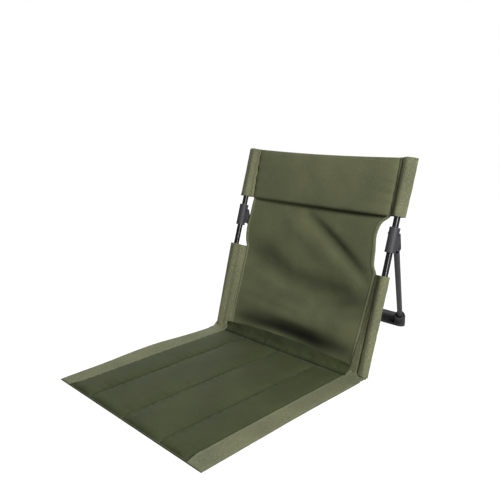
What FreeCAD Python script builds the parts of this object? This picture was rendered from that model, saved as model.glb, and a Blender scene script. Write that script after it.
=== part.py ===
import FreeCAD, Part
import math
import os
import Sketcher
from FreeCAD import Placement, Rotation, Vector

# Floor chair with a leaning cloth back on two steel uprights, a swinging rear support and a padded
# cloth seat. Millimetres, +Z up, -Y towards the front of the seat. The origin is on the floor
# midway between the lower ends of the two uprights.

os.makedirs("parts", exist_ok=True)
doc = FreeCAD.newDocument("floor_chair")

driving = {
    # whole chair
    "chair_width": 440, "seat_length": 430, "back_height": 458, "recline_angle": 17,
    "tube_spacing": 433,
    # steel tubes and their end plugs
    "upright_diameter": 13, "upright_wall": 1.2, "strut_diameter": 12.6, "strut_wall": 1,
    "plug_flange": 3, "plug_rounding": 1.4, "plug_insert": 14, "plug_play": 0.1,
    # connectors
    "connector_start": 263, "connector_length": 52, "connector_diameter": 21.6,
    "collar_length": 5, "collar_height": 0.7, "bore_play": 0.1,
    "lug_width": 18, "slot_width": 11, "pivot_height": 14, "pivot_setback": 18, "lug_radius": 7.5,
    "lug_top": 42, "slot_top": 31, "slot_floor": 1.3,
    "rivet_diameter": 4, "rivet_head": 7, "rivet_head_height": 1.1, "rivet_height": 39,
    "rivet_play": 0.08, "pin_diameter": 5, "pin_head": 9, "pin_head_height": 1.4, "pin_play": 0.06,
    "washer_gap": 0.15,
    # rear support
    "foot_setback": 327, "foot_spread": 217, "strut_lift": 12, "strut_offset": 2,
    "eye_radius": 6.6, "eye_play": 0.2, "shank_diameter": 8, "shank_length": 15,
    "end_collar": 2, "end_insert": 16,
    "foot_diameter": 24, "foot_height": 26.5, "rim_height": 35,
    "recess_depth": 8, "recess_bottom": 6, "recess_height": 15, "recess_inset": 10,
    "mouth_diameter": 20, "mouth_depth": 5, "foot_pin_diameter": 3, "foot_pin_lift": 12,
    "foot_pin_inset": 1,
    # cloth and padding of the back
    "cloth": 2, "soft_gap": 0.3, "sleeve_radius": 8, "sleeve_bore_play": 0.3,
    "sleeve_inner_low": 184, "sleeve_inner_middle": 190, "sleeve_inner_high": 196, "flange_back": 3.5,
    "sleeve_outer_low": 227, "sleeve_outer_high": 234,
    "lower_sleeve_start": 6, "lower_sleeve_end": 214, "upper_sleeve_start": 337,
    "sling_sag": 13, "sling_low_share": 0.8, "sling_high_share": 0.35, "sling_start": 8,
    "edge_scoop": 10,
    "hem_width": 8, "hem_thickness": 2.6,
    "headrest_thickness": 25, "headrest_edge": 5, "headrest_top_dip": 4, "cover_cloth": 1.2,
    # seat
    "hinge_forward": 14, "hinge_play": 0.3, "lap_thickness": 1.6,
    "lap_height": 27, "lap_edge_height": 20, "lap_rear": 13.3, "lap_edge_rear": 2.3,
    "base_cloth": 1.2, "band_width": 40, "band_thickness": 1.8, "front_hem_width": 9,
    "seam_width": 4, "seam_thickness": 1.4, "pad_height": 7, "pad_end": 14, "middle_channel": 110,
    "seat_cover_cloth": 1,
}

sizes = doc.addObject("Spreadsheet::Sheet", "sizes")
for row, (alias, value) in enumerate(driving.items(), start=1):
    sizes.set(f"A{row}", alias)
    sizes.set(f"B{row}", str(value))
    sizes.setAlias(f"B{row}", alias)
doc.recompute()


def size(alias):
    return float(sizes.get(alias))


# Places and lengths worked out from the driving sizes

LEFT, RIGHT = -1, 1
SIDES = {"left": LEFT, "right": RIGHT}
tube_x = size("tube_spacing") / 2
tube_radius = size("upright_diameter") / 2
half_width = size("chair_width") / 2
lean = math.radians(size("recline_angle"))
back_turn = Rotation(Vector(1, 0, 0), -size("recline_angle"))

# The rounded plug at the low end of an upright just touches the floor.
plug_round = size("plug_rounding")
plug_start = (plug_round + (tube_radius - plug_round) * math.sin(lean)) / math.cos(lean) - plug_round
tube_start = plug_start + size("plug_flange")
tube_end = size("back_height") - size("headrest_top_dip") - size("plug_flange")


def back_point(x=0, n=0, s=0):
    """Point x across, n behind and s up the leaning plane of the two uprights."""
    return back_turn.multVec(Vector(x, n, s))


def on_back(x=0, n=0, s=0):
    return Placement(back_point(x, n, s), back_turn)


pivot_s = size("connector_start") + size("pivot_height")
foot_x = size("foot_spread") / 2


def pivot_point(side):
    return back_point(side * tube_x, size("pivot_setback"), pivot_s)


def strut_top(side):
    return pivot_point(side) + Vector(side * size("strut_offset"), 0, 0)


def strut_foot(side):
    return Vector(side * foot_x, size("foot_setback"), size("strut_lift"))


def strut_direction(side):
    return (strut_foot(side) - strut_top(side)).normalize()


def along_strut(side, distance):
    """Placement whose Z runs down the strut, that far from the pivot."""
    direction = strut_direction(side)
    turn = Rotation(Vector(1, 0, 0), Vector(0, 0, 0), direction, "ZXY")
    return Placement(strut_top(side) + direction * distance, turn)


# Helpers for features

def bind(obj, **expressions):
    for name, expression in expressions.items():
        obj.setExpression(name, expression)


def new_body(name):
    body = doc.addObject("PartDesign::Body", name)
    body.Label = name
    return body


def origin_feature(body, role):
    return next(part for part in body.Origin.OriginFeatures if part.Role == role)


def new_sketch(body, name, plane="XY_Plane", offset=None):
    sketch = body.newObject("Sketcher::SketchObject", f"{body.Name}_{name}")
    sketch.AttachmentSupport = [(origin_feature(body, plane), "")]
    sketch.MapMode = "FlatFace"
    if offset:
        sketch.setExpression("AttachmentOffset.Base.z", offset)
    return sketch


def value_of(sketch, expression):
    return float(sketch.evalExpression(expression))


def add_circle(sketch, radius, x="0", y="0"):
    """Circle whose radius and centre follow expressions."""
    centre = Vector(value_of(sketch, x), value_of(sketch, y), 0)
    start_radius = value_of(sketch, radius)
    circle = sketch.addGeometry(Part.Circle(centre, Vector(0, 0, 1), start_radius))
    place_point(sketch, circle, 3, x, y)
    constraint = sketch.addConstraint(Sketcher.Constraint("Radius", circle, start_radius))
    sketch.setExpression(f"Constraints[{constraint}]", radius)


def place_point(sketch, geometry, vertex, x, y):
    """Ties a point's two coordinates to expressions."""
    for kind, expression in (("DistanceX", x), ("DistanceY", y)):
        distance = value_of(sketch, expression)
        tie = Sketcher.Constraint(kind, -1, 1, geometry, vertex, distance)
        sketch.setExpression(f"Constraints[{sketch.addConstraint(tie)}]", expression)


def add_outline(sketch, corners, rounded=None):
    """Closed outline whose corners follow pairs of expressions.

    The step from the corner numbered rounded to the next one is a quarter round, the rest are straight.
    """
    points = [Vector(value_of(sketch, x), value_of(sketch, y), 0) for x, y in corners]
    count = len(points)
    pieces = []
    for k, start in enumerate(points):
        end = points[(k + 1) % count]
        if k == rounded:
            centre = Vector(start.x, end.y, 0)
            circle = Part.Circle(centre, Vector(0, 0, 1), end.x - start.x)
            pieces.append(sketch.addGeometry(Part.ArcOfCircle(circle, -math.pi / 2, 0)))
        else:
            pieces.append(sketch.addGeometry(Part.LineSegment(start, end)))
    for k, piece in enumerate(pieces):
        kind = "Tangent" if k + 1 == rounded else "Coincident"
        sketch.addConstraint(Sketcher.Constraint(kind, piece, 2, pieces[(k + 1) % count], 1))
    for piece, (x, y) in zip(pieces, corners):
        place_point(sketch, piece, 1, x, y)


def pad(body, sketch, length, symmetric=False):
    feature = body.newObject("PartDesign::Pad", f"{sketch.Name}_pad")
    feature.Profile = sketch
    feature.SideType = "Symmetric" if symmetric else "One side"
    feature.setExpression("Length", length)
    doc.recompute()
    return feature


def pocket(body, sketch, length, symmetric=False, reverse=False):
    before = body.Shape.Volume
    feature = body.newObject("PartDesign::Pocket", f"{sketch.Name}_pocket")
    feature.Profile = sketch
    feature.SideType = "Symmetric" if symmetric else "One side"
    feature.Reversed = reverse
    feature.setExpression("Length", length)
    doc.recompute()
    if not feature.Shape.Volume < before:
        raise ValueError(f"{feature.Name} cuts nothing")
    return feature


def revolve(body, sketch):
    feature = body.newObject("PartDesign::Revolution", f"{sketch.Name}_turn")
    feature.Profile = sketch
    feature.ReferenceAxis = (origin_feature(body, "Z_Axis"), [""])
    feature.Angle = 360
    doc.recompute()
    return feature


def cylinder(name, placement, radius, height):
    shape = doc.addObject("Part::Cylinder", name)
    bind(shape, Radius=radius, Height=height)
    shape.Placement = placement
    return shape


def joined(name, pieces):
    fusion = doc.addObject("Part::MultiFuse", name)
    fusion.Shapes = pieces
    fusion.Refine = True
    return fusion


def cut(name, base, tool):
    result = doc.addObject("Part::Cut", name)
    result.Base = base
    result.Tool = tool
    result.Refine = True
    return result


def soft_piece(name, shape, placement=None):
    """Cloth or padding, shaped here and then placed."""
    feature = doc.addObject("Part::Feature", name)
    feature.Label = name
    own_place = shape.Placement
    feature.Shape = shape
    feature.Placement = placement * own_place if placement else own_place
    nodes.append(feature)
    return feature


nodes = []


# Steel uprights with a plug at each end

def upright(name, side):
    body = new_body(name)
    ring = new_sketch(body, "ring")
    add_circle(ring, "sizes.upright_diameter / 2")
    add_circle(ring, "sizes.upright_diameter / 2 - sizes.upright_wall")
    pad(body, ring, f"{tube_end - tube_start}")
    rivet_hole = new_sketch(body, "rivet_hole", "YZ_Plane")
    rivet_s = f"sizes.connector_start + sizes.rivet_height - {tube_start}"
    add_circle(rivet_hole, "sizes.rivet_diameter / 2 + sizes.rivet_play", "0", rivet_s)
    pocket(body, rivet_hole, "2 * sizes.upright_diameter", symmetric=True)
    body.Placement = on_back(side * tube_x, 0, tube_start)
    nodes.append(body)


def end_plug(name, placement):
    """Push-in plug with a rounded flange: its flange face is the origin and it enters along +Z."""
    body = new_body(name)
    insert = "sizes.upright_diameter / 2 - sizes.upright_wall - sizes.plug_play"
    outline = new_sketch(body, "outline", "XZ_Plane")
    corners = [
        ("0", "0"),
        ("sizes.upright_diameter / 2 - sizes.plug_rounding", "0"),
        ("sizes.upright_diameter / 2", "sizes.plug_rounding"),
        ("sizes.upright_diameter / 2", "sizes.plug_flange"),
        (insert, "sizes.plug_flange"),
        (insert, "sizes.plug_flange + sizes.plug_insert"),
        ("0", "sizes.plug_flange + sizes.plug_insert"),
    ]
    add_outline(outline, corners, rounded=1)
    revolve(body, outline)
    body.Placement = placement
    nodes.append(body)


for word, side in SIDES.items():
    upright(f"upright_{word}", side)
    end_plug(f"bottom_plug_{word}", on_back(side * tube_x, 0, plug_start))
    top_turn = back_turn * Rotation(Vector(1, 0, 0), 180)
    top_place = back_point(side * tube_x, 0, tube_end + size("plug_flange"))
    end_plug(f"top_plug_{word}", Placement(top_place, top_turn))


# Moulded connectors that carry the rear support's pivots

def connector(name, side):
    body = new_body(name)
    barrel = new_sketch(body, "barrel")
    add_circle(barrel, "sizes.connector_diameter / 2")
    pad(body, barrel, "sizes.connector_length")
    for end, offset in (("low", "0"), ("high", "sizes.connector_length - sizes.collar_length")):
        collar = new_sketch(body, f"{end}_collar", offset=offset)
        add_circle(collar, "sizes.connector_diameter / 2 + sizes.collar_height")
        pad(body, collar, "sizes.collar_length")
    lug = new_sketch(body, "lug", "YZ_Plane")
    pin_y = "sizes.pivot_setback"
    pin_z = "sizes.pivot_height"
    barrel_rear = "sizes.connector_diameter / 2"
    corners = [
        (f"{barrel_rear} / 2", f"{pin_z} - sizes.lug_radius"),
        (pin_y, f"{pin_z} - sizes.lug_radius"),
        (f"{pin_y} + sizes.lug_radius", pin_z),
        (f"{barrel_rear} + sizes.collar_height", "sizes.lug_top"),
        (f"{barrel_rear} / 2", "sizes.lug_top"),
    ]
    add_outline(lug, corners, rounded=1)
    pad(body, lug, "sizes.lug_width", symmetric=True)
    slot = new_sketch(body, "slot", "YZ_Plane")
    slot_front = f"{barrel_rear} - sizes.slot_floor"
    slot_rear = f"{pin_y} + 2 * sizes.lug_radius"
    below = "-sizes.collar_length"
    corners = [
        (slot_front, below),
        (slot_rear, below),
        (slot_rear, "sizes.slot_top"),
        (slot_front, "sizes.slot_top"),
    ]
    add_outline(slot, corners)
    pocket(body, slot, "sizes.slot_width", symmetric=True)
    bore = new_sketch(body, "bore", offset=below)
    add_circle(bore, "sizes.upright_diameter / 2 + sizes.bore_play")
    pocket(body, bore, "sizes.connector_length + 2 * sizes.collar_length", reverse=True)
    pin_hole = new_sketch(body, "pin_hole", "YZ_Plane")
    add_circle(pin_hole, "sizes.pin_diameter / 2 + sizes.pin_play", pin_y, pin_z)
    pocket(body, pin_hole, "2 * sizes.lug_width", symmetric=True)
    rivet_hole = new_sketch(body, "rivet_hole", "YZ_Plane")
    add_circle(rivet_hole, "sizes.rivet_diameter / 2 + sizes.rivet_play", "0", "sizes.rivet_height")
    pocket(body, rivet_hole, "2 * sizes.connector_diameter", symmetric=True)
    body.Placement = on_back(side * tube_x, 0, size("connector_start"))
    nodes.append(body)


def headed_pin(name, placement, diameter, grip, head, head_height):
    """Pin along its own Z with a head on each side of its grip, centred on its origin."""
    body = new_body(name)
    outline = new_sketch(body, "outline", "XZ_Plane")
    half = f"({grip}) / 2"
    bevel = f"{head_height} / 2"
    corners = [
        ("0", f"-{half} - {head_height}"),
        (f"{head} / 2 - {bevel}", f"-{half} - {head_height}"),
        (f"{head} / 2", f"-{half} - {bevel}"),
        (f"{head} / 2", f"-{half}"),
        (f"{diameter} / 2", f"-{half}"),
        (f"{diameter} / 2", half),
        (f"{head} / 2", half),
        (f"{head} / 2", f"{half} + {bevel}"),
        (f"{head} / 2 - {bevel}", f"{half} + {head_height}"),
        ("0", f"{half} + {head_height}"),
    ]
    add_outline(outline, corners)
    revolve(body, outline)
    body.Placement = placement
    return body


across = Rotation(Vector(0, 1, 0), 90)
for word, side in SIDES.items():
    connector(f"connector_{word}", side)
    pin = headed_pin(
        f"pivot_pin_{word}", Placement(pivot_point(side), back_turn * across),
        diameter="sizes.pin_diameter", grip="sizes.lug_width + 2 * sizes.washer_gap",
        head="sizes.pin_head", head_height="sizes.pin_head_height")
    nodes.append(pin)
    rivet_place = back_point(side * tube_x, 0, size("connector_start") + size("rivet_height"))
    rivet = headed_pin(
        f"connector_rivet_{word}", Placement(rivet_place, back_turn * across),
        diameter="sizes.rivet_diameter", grip="sizes.connector_diameter + 2 * sizes.washer_gap",
        head="sizes.rivet_head", head_height="sizes.rivet_head_height")
    nodes.append(rivet)


# Rear support: two struts, an end fitting on each, and a foot bar that joins them on the floor

strut_length = (strut_foot(RIGHT) - strut_top(RIGHT)).Length - size("shank_length")


def strut(name, side):
    body = new_body(name)
    ring = new_sketch(body, "ring")
    add_circle(ring, "sizes.strut_diameter / 2")
    add_circle(ring, "sizes.strut_diameter / 2 - sizes.strut_wall")
    pad(body, ring, f"{strut_length}")
    pin_hole = new_sketch(body, "pin_hole", "XZ_Plane")
    pin_radius = "sizes.foot_pin_diameter / 2 + sizes.rivet_play"
    add_circle(pin_hole, pin_radius, "0", f"{strut_length} - sizes.foot_pin_lift")
    pocket(body, pin_hole, "2 * sizes.strut_diameter", symmetric=True)
    body.Placement = along_strut(side, size("shank_length"))
    nodes.append(body)


def strut_end(name, side):
    """Eye on the pivot pin, with a shank and an insert that fills the top of the strut."""
    eye_width = "sizes.slot_width - 2 * sizes.eye_play"
    eye_start = pivot_point(side) - Vector(size("slot_width") / 2 - size("eye_play"), 0, 0)
    eye = cylinder(f"{name}_eye", Placement(eye_start, across), "sizes.eye_radius", eye_width)
    shank_place = along_strut(side, 0)
    shank = cylinder(f"{name}_shank", shank_place, "sizes.shank_diameter / 2", "sizes.shank_length")
    collar_place = along_strut(side, size("shank_length") - size("end_collar"))
    collar = cylinder(f"{name}_collar", collar_place, "sizes.strut_diameter / 2", "sizes.end_collar")
    insert_place = along_strut(side, size("shank_length"))
    insert_radius = "sizes.strut_diameter / 2 - sizes.strut_wall - sizes.plug_play"
    insert = cylinder(f"{name}_insert", insert_place, insert_radius, "sizes.end_insert")
    block = joined(f"{name}_block", [eye, shank, collar, insert])
    bore_place = Placement(pivot_point(side) - Vector(size("slot_width"), 0, 0), across)
    bore_radius = "sizes.pin_diameter / 2 + sizes.pin_play"
    bore = cylinder(f"{name}_bore", bore_place, bore_radius, "2 * sizes.slot_width")
    fitting = cut(name, block, bore)
    fitting.Label = name
    nodes.append(fitting)


def socket_tool(name, side, start, radius, height):
    """Cylinder along the strut's line in the foot bar; start is measured up from the strut's low end."""
    place = along_strut(side, 0)
    place.Base = strut_foot(side) - strut_direction(side) * start
    return cylinder(name, place, radius, height)


def foot_bar(name):
    foot_radius = "sizes.foot_diameter / 2"
    rise = size("rim_height") - size("strut_lift")
    rim_distance = rise / -strut_direction(RIGHT).z
    arm = doc.addObject("Part::Box", f"{name}_arm")
    bind(arm, Length="sizes.foot_spread", Width="sizes.foot_diameter", Height="sizes.foot_height")
    foot_front = size("foot_setback") - size("foot_diameter") / 2
    arm.Placement.Base = Vector(-foot_x, foot_front, 0)
    tool_start = 2 * rim_distance
    bore_radius = "sizes.strut_diameter / 2 + sizes.bore_play"
    pin_radius = "sizes.foot_pin_diameter / 2 + sizes.rivet_play"
    solids = [arm]
    tools = []
    for word, side in SIDES.items():
        stand_place = Placement(Vector(side * foot_x, size("foot_setback"), 0), Rotation())
        stand = cylinder(f"{name}_stand_{word}", stand_place, foot_radius, "sizes.foot_height")
        cup_height = f"{rim_distance} + sizes.strut_lift"
        cup = socket_tool(f"{name}_cup_{word}", side, rim_distance, foot_radius, cup_height)
        solids += [stand, cup]
        bore = socket_tool(f"{name}_bore_{word}", side, tool_start, bore_radius, f"{tool_start}")
        mouth_height = f"{rim_distance} + sizes.mouth_depth"
        mouth_radius = "sizes.mouth_diameter / 2"
        mouth = socket_tool(f"{name}_mouth_{word}", side, tool_start, mouth_radius, mouth_height)
        pin_hole = foot_pin(f"{name}_pin_hole_{word}", side, pin_radius, 2 * size("foot_diameter"))
        tools += [bore, mouth, pin_hole]
    block = joined(f"{name}_block", solids)
    recess = doc.addObject("Part::Box", f"{name}_recess")
    bind(recess, Length="sizes.foot_spread - 2 * sizes.recess_inset", Width="sizes.recess_depth",
         Height="sizes.recess_height")
    recess.Placement.Base = Vector(size("recess_inset") - foot_x, foot_front, size("recess_bottom"))
    ground_size = 2 * size("foot_spread")
    ground = doc.addObject("Part::Box", f"{name}_ground")
    bind(ground, Length=f"{ground_size}", Width=f"{ground_size}", Height="sizes.foot_height")
    ground.Placement.Base = Vector(
        -ground_size / 2, size("foot_setback") - ground_size / 2, -size("foot_height"))
    tools = joined(f"{name}_tools", tools + [recess, ground])
    bar = cut(name, block, tools)
    bar.Label = name
    nodes.append(bar)


def foot_pin(name, side, radius, length):
    """Cylinder square to the strut, from front to rear through a socket and the strut in it."""
    turn = along_strut(side, 0).Rotation * Rotation(Vector(1, 0, 0), 90)
    centre = strut_foot(side) - strut_direction(side) * size("foot_pin_lift")
    start = centre - turn.multVec(Vector(0, 0, length / 2))
    return cylinder(name, Placement(start, turn), radius, f"{length}")


for word, side in SIDES.items():
    strut(f"strut_{word}", side)
    strut_end(f"strut_end_{word}", side)
    pin_length = size("foot_diameter") - 2 * size("foot_pin_inset")
    pin = foot_pin(f"foot_pin_{word}", side, "sizes.foot_pin_diameter / 2", pin_length)
    nodes.append(pin)
foot_bar("foot_bar")


# Sections and solids for the soft pieces

def smooth_curve(points):
    curve = Part.BSplineCurve()
    curve.interpolate(points)
    return curve.toShape()


def tangent_points(centre, radius, point):
    """The two points where lines from a point touch a circle, in the XY plane."""
    gap = point - centre
    base = math.atan2(gap.y, gap.x)
    spread = math.acos(radius / gap.Length)
    return [centre + Vector(radius * math.cos(base + turn), radius * math.sin(base + turn), 0)
            for turn in (-spread, spread)]


def sleeve_section(side, inner, outer, s):
    """Cloth round the tube, pressed flat into a flange on each side of it."""
    radius = size("sleeve_radius")
    thick = size("cloth")
    centre = Vector(0, 0, 0)
    half_thick = Vector(0, thick / 2, 0)
    inner_tip = Vector(inner - tube_x, size("flange_back"), 0)
    outer_tip = Vector(outer - tube_x, -half_thick.y, 0)
    front_inner = tangent_points(centre, radius, inner_tip - half_thick)[1]
    front_outer = tangent_points(centre, radius, outer_tip - half_thick)[0]
    rear_outer = tangent_points(centre, radius, outer_tip + half_thick)[1]
    rear_inner = tangent_points(centre, radius, inner_tip + half_thick)[0]
    wire = Part.Wire([
        Part.makeLine(inner_tip - half_thick, front_inner),
        Part.Arc(front_inner, Vector(0, -radius, 0), front_outer).toShape(),
        Part.makeLine(front_outer, outer_tip - half_thick),
        Part.makeLine(outer_tip - half_thick, outer_tip + half_thick),
        Part.makeLine(outer_tip + half_thick, rear_outer),
        Part.Arc(rear_outer, Vector(0, radius, 0), rear_inner).toShape(),
        Part.makeLine(rear_inner, inner_tip + half_thick),
        Part.makeLine(inner_tip + half_thick, inner_tip - half_thick),
    ])
    if side == LEFT:
        wire = Part.Wire(wire.mirror(centre, Vector(1, 0, 0)).Edges)
    wire.translate(Vector(side * tube_x, 0, s))
    return wire


def sleeve(name, side, heights, inners, outers):
    """Sleeve between two heights, with its inner and outer edge given at each."""
    low, high = heights
    sections = [sleeve_section(side, *ends) for ends in zip(inners, outers, heights)]
    thick = size("cloth")
    radius = tube_radius + size("sleeve_bore_play")
    bore = Part.makeCylinder(radius, high - low + 2 * thick, Vector(side * tube_x, 0, low - thick))
    soft_piece(name, Part.makeLoft(sections, True, True).cut(bore), on_back())


def cloth_edge(s):
    """Half width of the slung cloth: it scoops in between the sleeves, where the uprights are bare."""
    low, middle, high = (size(f"sleeve_inner_{level}") for level in ("low", "middle", "high"))
    if s < lower_end:
        return low + (middle - low) * s / lower_end
    share = (s - lower_end) / (upper_start - lower_end)
    return middle + (high - middle) * share - size("edge_scoop") * math.sin(math.pi * share)


def sling_depth(s):
    """How far the slung cloth hangs back midway between its edges."""
    low_turn = math.asin(size("sling_low_share"))
    high_turn = math.pi - math.asin(size("sling_high_share"))
    share = (s - size("sling_start")) / (sling_end - size("sling_start"))
    return size("sling_sag") * math.sin(low_turn + (high_turn - low_turn) * share)


def sling_section(s):
    """Thin curved band across the back at one height."""
    half = cloth_edge(s) - size("hem_width") - 2 * gap
    depth = sling_depth(s)
    edge_depth = depth * (1 - (half / cloth_edge(s)) ** 2)
    front = size("flange_back") - size("cloth") / 2
    rear = front + size("cloth")
    left_front, right_front = (Vector(x, front + edge_depth, s) for x in (-half, half))
    left_rear, right_rear = (Vector(x, rear + edge_depth, s) for x in (-half, half))
    return Part.Wire([
        Part.Arc(left_front, Vector(0, front + depth, s), right_front).toShape(),
        Part.makeLine(right_front, right_rear),
        Part.Arc(right_rear, Vector(0, rear + depth, s), left_rear).toShape(),
        Part.makeLine(left_rear, left_front),
    ])


def hem_section(side, s):
    """Folded edge beside the slung cloth at one height."""
    outer = cloth_edge(s) - gap
    inner = outer - size("hem_width")
    front = size("flange_back") - size("hem_thickness") / 2
    rear = front + size("hem_thickness")
    corners = [(inner, front), (outer, front), (outer, rear), (inner, rear), (inner, front)]
    return Part.makePolygon([Vector(side * x, n, s) for x, n in corners])


def pillow_section(x, height, thickness, edge):
    """Lens across a cushion at one x: arcs in front and behind, straight at its low and high edges."""
    corners = [Vector(x, -edge / 2, -height / 2), Vector(x, -edge / 2, height / 2),
               Vector(x, edge / 2, height / 2), Vector(x, edge / 2, -height / 2)]
    return Part.Wire([
        Part.Arc(corners[0], Vector(x, -thickness / 2, 0), corners[1]).toShape(),
        Part.makeLine(corners[1], corners[2]),
        Part.Arc(corners[2], Vector(x, thickness / 2, 0), corners[3]).toShape(),
        Part.makeLine(corners[3], corners[0]),
    ])


def pillow(width, height, inset):
    """Cushion in its own frame, X across and Z up, fuller in the middle than at its two sides."""
    fullness_across = (0.3, 0.8, 0.96, 1, 0.96, 0.8, 0.3)
    edge = size("headrest_edge")
    sections = []
    for step, fullness in enumerate(fullness_across):
        share = step / (len(fullness_across) - 1)
        x = (width - 2 * inset) * (share - 1 / 2)
        full = edge + fullness * (size("headrest_thickness") - edge)
        sections.append(pillow_section(x, height - 2 * inset, full - 2 * inset, edge - 2 * inset))
    return Part.makeLoft(sections, True, False)


def channel_solid(width, length, rise, end):
    """Padded channel along Y: flat underneath, arched across, with its two ends rounded down."""
    left, right, top = Vector(-width / 2, 0, 0), Vector(width / 2, 0, 0), Vector(0, 0, rise)
    arch = Part.Face(Part.Wire([Part.Arc(left, top, right).toShape(), Part.makeLine(right, left)]))
    arch_solid = arch.extrude(Vector(0, length, 0))
    run = end * (1 - math.sin(math.pi / 4))
    climb = rise * math.sin(math.pi / 4)
    front, rear = left, left + Vector(0, length, 0)
    front_top, rear_top = Vector(left.x, end, rise), Vector(left.x, length - end, rise)
    side_face = Part.Face(Part.Wire([
        Part.Arc(front, front + Vector(0, run, climb), front_top).toShape(),
        Part.makeLine(front_top, rear_top),
        Part.Arc(rear_top, rear + Vector(0, -run, climb), rear).toShape(),
        Part.makeLine(rear, front),
    ]))
    return arch_solid.common(side_face.extrude(Vector(width, 0, 0)))


# Cloth sleeves on the uprights, the sling between them and its bound edges

gap = size("soft_gap")
lower_start, lower_end = size("lower_sleeve_start"), size("lower_sleeve_end")
upper_start, upper_end = size("upper_sleeve_start"), size("back_height")
inner_low, inner_middle, inner_high = (
    size(f"sleeve_inner_{level}") for level in ("low", "middle", "high"))
outer_low, outer_high = size("sleeve_outer_low"), size("sleeve_outer_high")
for word, side in SIDES.items():
    sleeve(f"lower_sleeve_{word}", side, (lower_start, lower_end),
           (inner_low, inner_middle), (outer_low, outer_high))
    sleeve(f"upper_sleeve_{word}", side, (upper_start, upper_end),
           (inner_high, inner_high), (outer_high, outer_high))

sling_end = upper_start - gap
sling_steps = 16
sling_rise = (sling_end - size("sling_start")) / sling_steps
sling_heights = [size("sling_start") + sling_rise * step for step in range(sling_steps + 1)]
sling = Part.makeLoft([sling_section(s) for s in sling_heights], True, True)
soft_piece("back_panel", sling, on_back())
for word, side in SIDES.items():
    hem = Part.makeLoft([hem_section(side, s) for s in sling_heights], True, True)
    soft_piece(f"back_hem_{word}", hem, on_back())


# Headrest: a foam core in a cloth cover

headrest_width = 2 * (inner_high - gap)
headrest_height = upper_end - size("headrest_top_dip") - upper_start
headrest_place = on_back(0, size("flange_back"), upper_start + headrest_height / 2)
skin = size("cover_cloth")
cover_outside = pillow(headrest_width, headrest_height, 0)
cover_inside = pillow(headrest_width, headrest_height, skin)
soft_piece("headrest_cover", cover_outside.cut(cover_inside), headrest_place)
soft_piece("headrest_foam", pillow(headrest_width, headrest_height, skin + gap), headrest_place)


# Cloth lap in front of the foot of the back. It rises in a fold from the line where the seat folds,
# and its foot lies flat on the floor under the fold.

hinge_y = -size("hinge_forward")


def lap_section(x):
    """The lap's thin section at one x: up a steep front, over a crest and down behind it."""
    fullness = 1 - (x / inner_low) ** 2
    height = size("lap_edge_height") + (size("lap_height") - size("lap_edge_height")) * fullness
    rear = size("lap_edge_rear") + (size("lap_rear") - size("lap_edge_rear")) * fullness
    crest = 0.35 * rear
    half = size("lap_thickness") / 2
    start = hinge_y + half
    line = [(start, 0), (start * 0.7, 0.08), (start * 0.45, 0.35), (start * 0.24, 0.7), (crest, 1)]
    line += [(crest + (rear - crest) * run, fall) for run, fall in ((0.45, 0.78), (0.75, 0.38), (1, 0.1))]
    points = [Vector(x, y, half + share * height) for y, share in line]
    outside, inside = [], []
    for k, point in enumerate(points):
        ahead = points[min(k + 1, len(points) - 1)] - points[max(k - 1, 0)]
        square = Vector(0, -ahead.z, ahead.y).normalize() * half
        outside.append(point + square)
        inside.append(point - square)
    return Part.Wire([
        smooth_curve(outside),
        Part.makeLine(outside[-1], inside[-1]),
        smooth_curve(inside[::-1]),
        Part.makeLine(inside[0], outside[0]),
    ])


lap_half = inner_low - gap
lap_steps = 12
lap_places = [lap_half * (2 * step / lap_steps - 1) for step in range(lap_steps + 1)]
lap_fold = Part.makeLoft([lap_section(x) for x in lap_places], True, True)
foot_start = hinge_y + size("lap_thickness") / 2
foot_depth = size("lap_edge_rear") - foot_start
foot_corner = Vector(-lap_half, foot_start, 0)
lap_foot = Part.makeBox(2 * lap_half, foot_depth, size("lap_thickness"), foot_corner)
soft_piece("rear_lap", lap_fold.fuse(lap_foot).removeSplitter())


# Seat: base sheet, quilted cover over four foam strips, webbing down each side and a front hem

seat_front = -size("seat_length")
seat_rear = hinge_y - size("hinge_play")
base_top = size("base_cloth")
base = Part.makeBox(2 * half_width, seat_rear - seat_front, base_top)
base.translate(Vector(-half_width, seat_front, 0))
soft_piece("seat_base", base)

cover_front = seat_front + size("front_hem_width") + gap
cover_half = half_width - size("band_width") - gap
seam = size("seam_width")
inner_seam = size("middle_channel")
seams = [-cover_half, -inner_seam, 0, inner_seam, cover_half]
channels = list(zip(seams, seams[1:]))
cover_plate = Part.makeBox(2 * cover_half, seat_rear - cover_front, size("seam_thickness"))
cover_plate.translate(Vector(-cover_half, cover_front, base_top))
seat_skin = size("seat_cover_cloth")
channel_length = seat_rear - cover_front - 2 * seam


def seat_channel(edges, inset=0):
    """Padded channel between two seams of the seat, drawn in by inset on its sides and top."""
    low, high = edges
    width = high - low - seam - 2 * inset
    rise = size("pad_height") - inset
    solid = channel_solid(width, channel_length - 2 * inset, rise, size("pad_end"))
    solid.translate(Vector((low + high) / 2, cover_front + seam + inset, base_top))
    return solid


seat_cover = cover_plate
for edges in channels:
    seat_cover = seat_cover.fuse(seat_channel(edges))
for edges in channels:
    seat_cover = seat_cover.cut(seat_channel(edges, seat_skin))
soft_piece("seat_cover", seat_cover.removeSplitter())
for number, edges in enumerate(channels, start=1):
    soft_piece(f"seat_foam_{number}", seat_channel(edges, seat_skin + gap))

for word, side in SIDES.items():
    band = Part.makeBox(size("band_width"), seat_rear - cover_front, size("band_thickness"))
    band_middle = side * (half_width - size("band_width") / 2)
    band.translate(Vector(band_middle - size("band_width") / 2, cover_front, base_top))
    soft_piece(f"side_band_{word}", band)
front_hem = Part.makeBox(2 * half_width, size("front_hem_width"), size("band_thickness"))
front_hem.translate(Vector(-half_width, seat_front, base_top))
soft_piece("front_hem", front_hem)


# Everything is recomputed and looked over before any file is written

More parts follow.
